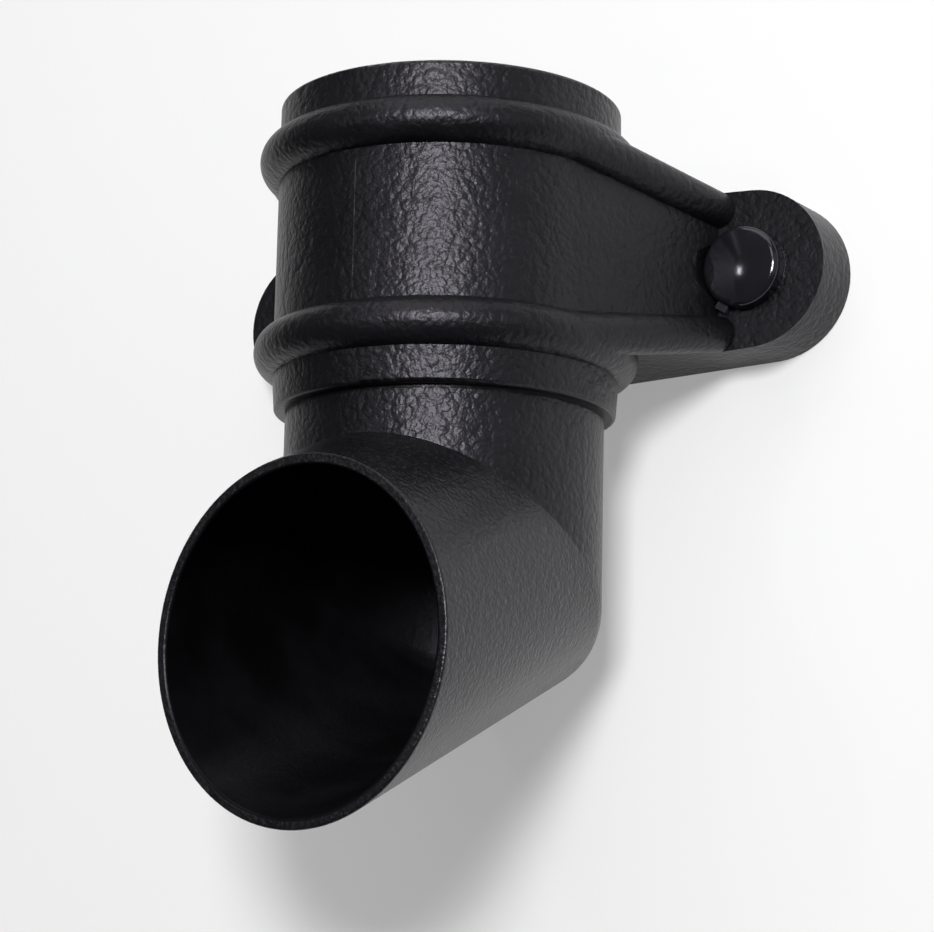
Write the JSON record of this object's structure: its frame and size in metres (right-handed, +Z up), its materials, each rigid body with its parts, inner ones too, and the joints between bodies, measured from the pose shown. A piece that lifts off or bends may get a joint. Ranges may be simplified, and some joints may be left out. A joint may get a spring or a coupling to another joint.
{
  "type": "downpipe shoe",
  "caption": "Eared rainwater downpipe shoe: beaded socket on a mitred spout that throws the water forward, with screw lugs under domed cover caps.",
  "frame": {"origin": "on the pipe's axis, on the shoulder inside the socket that the pipe's end stands on", "axes": "+Z up along the pipe, +Y towards the wall, +X to the right as seen from in front; the spout points to -Y and down"},
  "size_m": [0.1484, 0.0972, 0.1576],
  "materials": {
    "shoe_body": "black moulded plastic with a pebbled cast-iron effect",
    "cover_cap": "smooth glossy black moulded plastic"
  },
  "bodies": {
    "root": {"shoe_body": "shoe_body", "cover_cap_right": "cover_cap", "cover_cap_left": "cover_cap"}
  },
  "joints": []
}
